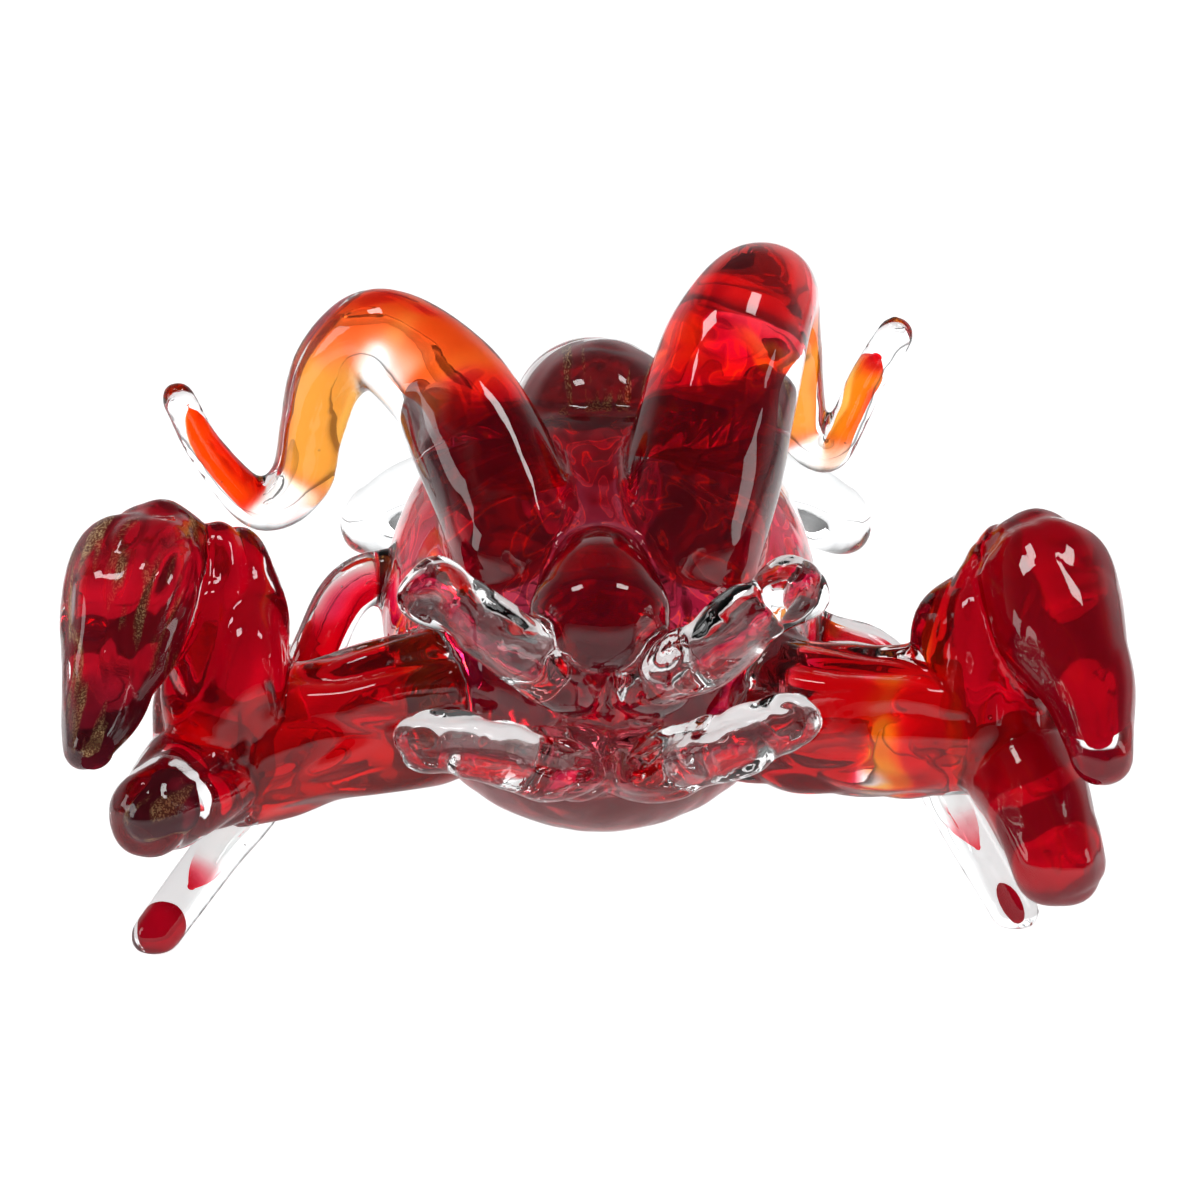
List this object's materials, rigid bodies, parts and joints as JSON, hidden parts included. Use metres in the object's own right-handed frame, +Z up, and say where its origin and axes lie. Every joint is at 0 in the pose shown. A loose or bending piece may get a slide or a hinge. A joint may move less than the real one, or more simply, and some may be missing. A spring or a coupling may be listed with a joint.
{
  "type": "lobster figurine",
  "caption": "Hot worked cased glass lobster: red core in clear glass, arched antennae, curled claws, ringed abdomen and fanned tail, resting on four feet and the telson.",
  "frame": {"origin": "centre of the ground rectangle under the figure, on the plane it stands on", "axes": "+Z up, the head and claws towards -Y, the tail fan towards +Y, +X to the right of someone facing the head"},
  "size_m": [0.2202, 0.2636, 0.1448],
  "materials": {
    "clear_glass": "fire polished, clear",
    "red_glass": "fire polished, transparent ruby",
    "dark_red_glass": "fire polished, dark ruby with copper glitter",
    "orange_glass": "fire polished, opal orange"
  },
  "bodies": {
    "root": {"thorax_casing": "clear_glass", "thorax_core": "red_glass", "abdomen_casing": "clear_glass", "abdomen_core": "dark_red_glass", "telson": "clear_glass", "tail_lobe_inner_left": "clear_glass", "tail_lobe_inner_right": "clear_glass", "tail_lobe_outer_left": "clear_glass", "tail_lobe_outer_right": "clear_glass", "antenna_left_casing": "clear_glass", "antenna_left_core": "orange_glass", "antenna_right_casing": "clear_glass", "antenna_right_core": "red_glass", "rostrum_casing": "clear_glass", "rostrum_core": "dark_red_glass", "feeler_upper_left": "clear_glass", "feeler_upper_right": "clear_glass", "feeler_lower_left": "clear_glass", "feeler_lower_right": "clear_glass", "claw_left_palm_casing": "clear_glass", "claw_left_palm_core": "red_glass", "claw_left_thumb_casing": "clear_glass", "claw_left_thumb_core": "dark_red_glass", "claw_left_finger_casing": "clear_glass", "claw_left_finger_core": "red_glass", "arm_left_casing": "clear_glass", "arm_left_core": "red_glass", "claw_right_palm_casing": "clear_glass", "claw_right_palm_core": "red_glass", "claw_right_thumb_casing": "clear_glass", "claw_right_thumb_core": "dark_red_glass", "claw_right_finger_casing": "clear_glass", "claw_right_finger_core": "red_glass", "arm_right_casing": "clear_glass", "arm_right_core": "red_glass", "leg_front_left_casing": "clear_glass", "leg_front_left_core": "red_glass", "leg_front_right_casing": "clear_glass", "leg_front_right_core": "red_glass", "leg_rear_left_casing": "clear_glass", "leg_rear_left_core": "red_glass", "leg_rear_right_casing": "clear_glass", "leg_rear_right_core": "red_glass"}
  },
  "joints": []
}
